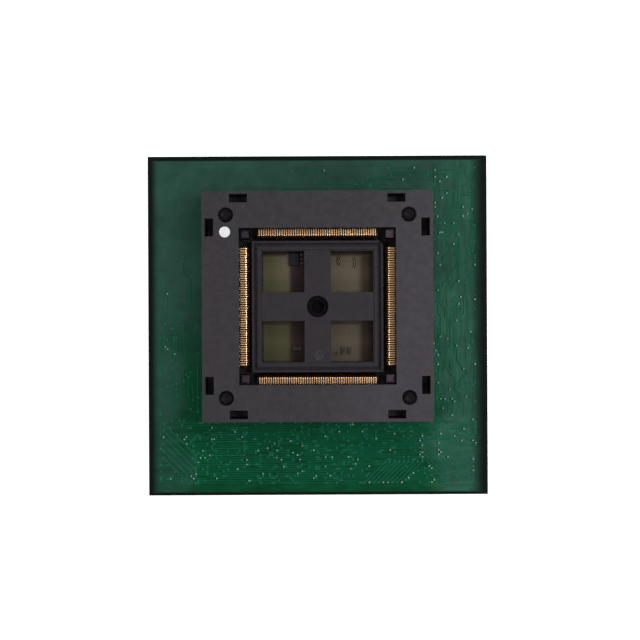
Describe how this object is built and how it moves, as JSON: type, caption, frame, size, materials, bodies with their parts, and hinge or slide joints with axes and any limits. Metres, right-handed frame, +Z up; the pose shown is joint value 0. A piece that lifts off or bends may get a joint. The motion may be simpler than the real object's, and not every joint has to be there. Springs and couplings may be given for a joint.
{
  "type": "zif socket",
  "caption": "Open-top press-to-open test socket for a quad flat pack, with sprung cover and swinging gold contacts, on a square adapter board.",
  "frame": {"origin": "middle of the board's outline, level with the underside of the connector strips", "axes": "+Z up, out of the socket's opening; +Y towards the board edge nearest the socket; contact one is at the -X +Y corner"},
  "size_m": [0.0762, 0.0762, 0.0229],
  "materials": {
    "board_green": "green solder mask, satin gloss",
    "base_plastic": "moulded, fine matte",
    "nest_plastic": "moulded, fine matte",
    "cover_plastic": "moulded, spark-eroded matte",
    "white_paint": "paint fill",
    "gold_plate": "gold plated beryllium copper",
    "spring_steel": "drawn wire",
    "strip_plastic": "moulded"
  },
  "bodies": {
    "board_and_base": {"adapter_board": "board_green", "socket_base": "base_plastic", "tail_guide_plate": "base_plastic", "package_nest": "nest_plastic", "contact_roots_north": "gold_plate", "contact_roots_east": "gold_plate", "contact_roots_south": "gold_plate", "contact_roots_west": "gold_plate", "return_spring_ne": "spring_steel", "return_spring_se": "spring_steel", "return_spring_sw": "spring_steel", "return_spring_nw": "spring_steel", "socket_strip_north": "strip_plastic", "socket_strip_east": "strip_plastic", "socket_strip_south": "strip_plastic", "socket_strip_west": "strip_plastic", "strip_contacts_north": "gold_plate", "strip_contacts_east": "gold_plate", "strip_contacts_south": "gold_plate", "strip_contacts_west": "gold_plate"},
    "cover_frame": {"cover": "cover_plastic", "pin_one_dot": "white_paint"},
    "arms_north": {"contact_arms_north": "gold_plate"},
    "arms_east": {"contact_arms_east": "gold_plate"},
    "arms_south": {"contact_arms_south": "gold_plate"},
    "arms_west": {"contact_arms_west": "gold_plate"}
  },
  "joints": [
    {"name": "cover_press", "type": "slide", "parent": "board_and_base", "child": "cover_frame", "axis": [0, 0, -1], "range_m": [0, 0.0025], "stiffness_N_per_m": 4000, "springref_m": -0.003, "deforming": ["return_spring_ne", "return_spring_se", "return_spring_sw", "return_spring_nw"]},
    {"name": "arms_north_swing", "type": "hinge", "parent": "board_and_base", "child": "arms_north", "pos_m": [0, 0.0218, 0.0126], "axis": [-1, 0, 0], "range_deg": [0, 30.05]},
    {"name": "arms_east_swing", "type": "hinge", "parent": "board_and_base", "child": "arms_east", "pos_m": [0.0176, 0.0042, 0.0126], "axis": [0, 1, 0], "range_deg": [0, 30.05]},
    {"name": "arms_south_swing", "type": "hinge", "parent": "board_and_base", "child": "arms_south", "pos_m": [0, -0.0134, 0.0126], "axis": [1, 0, 0], "range_deg": [0, 30.05]},
    {"name": "arms_west_swing", "type": "hinge", "parent": "board_and_base", "child": "arms_west", "pos_m": [-0.0176, 0.0042, 0.0126], "axis": [0, -1, 0], "range_deg": [0, 30.05]}
  ],
  "couplings": [
    {"joint": "arms_north_swing", "follows": "cover_press", "rad_per_m": 209.42},
    {"joint": "arms_east_swing", "follows": "cover_press", "rad_per_m": 209.42},
    {"joint": "arms_south_swing", "follows": "cover_press", "rad_per_m": 209.42},
    {"joint": "arms_west_swing", "follows": "cover_press", "rad_per_m": 209.42}
  ]
}
